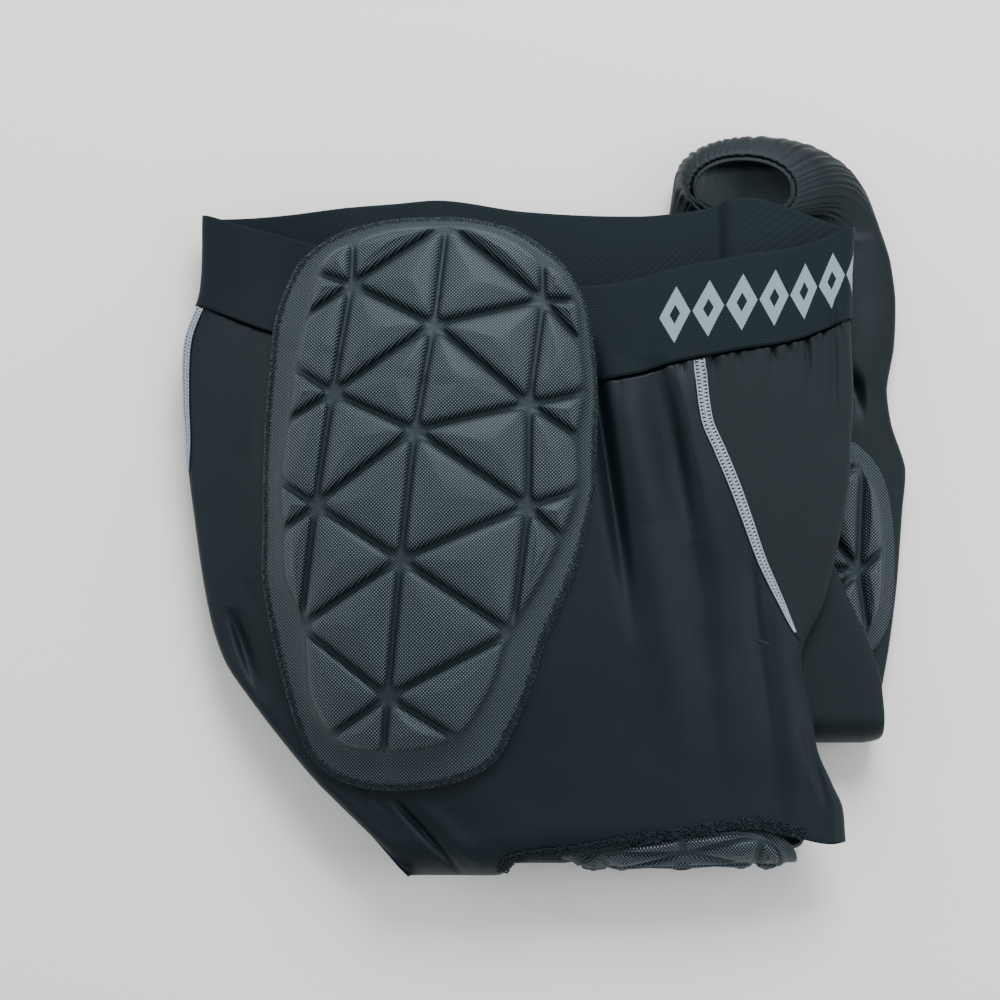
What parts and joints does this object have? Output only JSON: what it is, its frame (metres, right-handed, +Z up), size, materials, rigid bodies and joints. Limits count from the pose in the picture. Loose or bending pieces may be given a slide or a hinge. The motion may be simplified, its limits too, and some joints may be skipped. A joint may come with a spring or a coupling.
{
  "type": "padded compression tights with hip pad",
  "caption": "Padded compression tights folded flat with the hip pad up: faceted foam hip and knee guards on stretch knit, with an elastic waistband and gathered leg end.",
  "frame": {"origin": "middle of the resting side, under the middle of the folded garment", "axes": "+Z up from the surface it lies on, +Y towards the waist, +X towards the front of the garment"},
  "size_m": [0.3238, 0.3328, 0.0742],
  "materials": {
    "waist_elastic": "smooth woven elastic, matt",
    "side_knit": "smooth interlock knit, soft sheen",
    "perforated_knit": "pin-dot perforated knit, matt",
    "seam_thread": "light grey ladder stitching",
    "hem_thread": "dark overlock stitching",
    "hip_pad_cover": "mesh over moulded foam",
    "leg_knit": "smooth interlock knit, soft sheen",
    "cuff_elastic": "narrow elastic tape",
    "knee_pad_cover": "mesh over moulded foam"
  },
  "bodies": {
    "root": {"waistband": "waist_elastic", "near_side_panel": "side_knit", "far_side_panel": "side_knit", "front_panel": "perforated_knit", "front_seam": "seam_thread", "back_seam": "seam_thread", "hem_seam": "hem_thread", "hip_pad_near": "hip_pad_cover", "hip_pad_far": "hip_pad_cover", "far_leg": "leg_knit", "far_cuff_tape": "cuff_elastic", "knee_pad_far": "knee_pad_cover", "near_leg": "leg_knit", "knee_pad_near": "knee_pad_cover"}
  },
  "joints": []
}
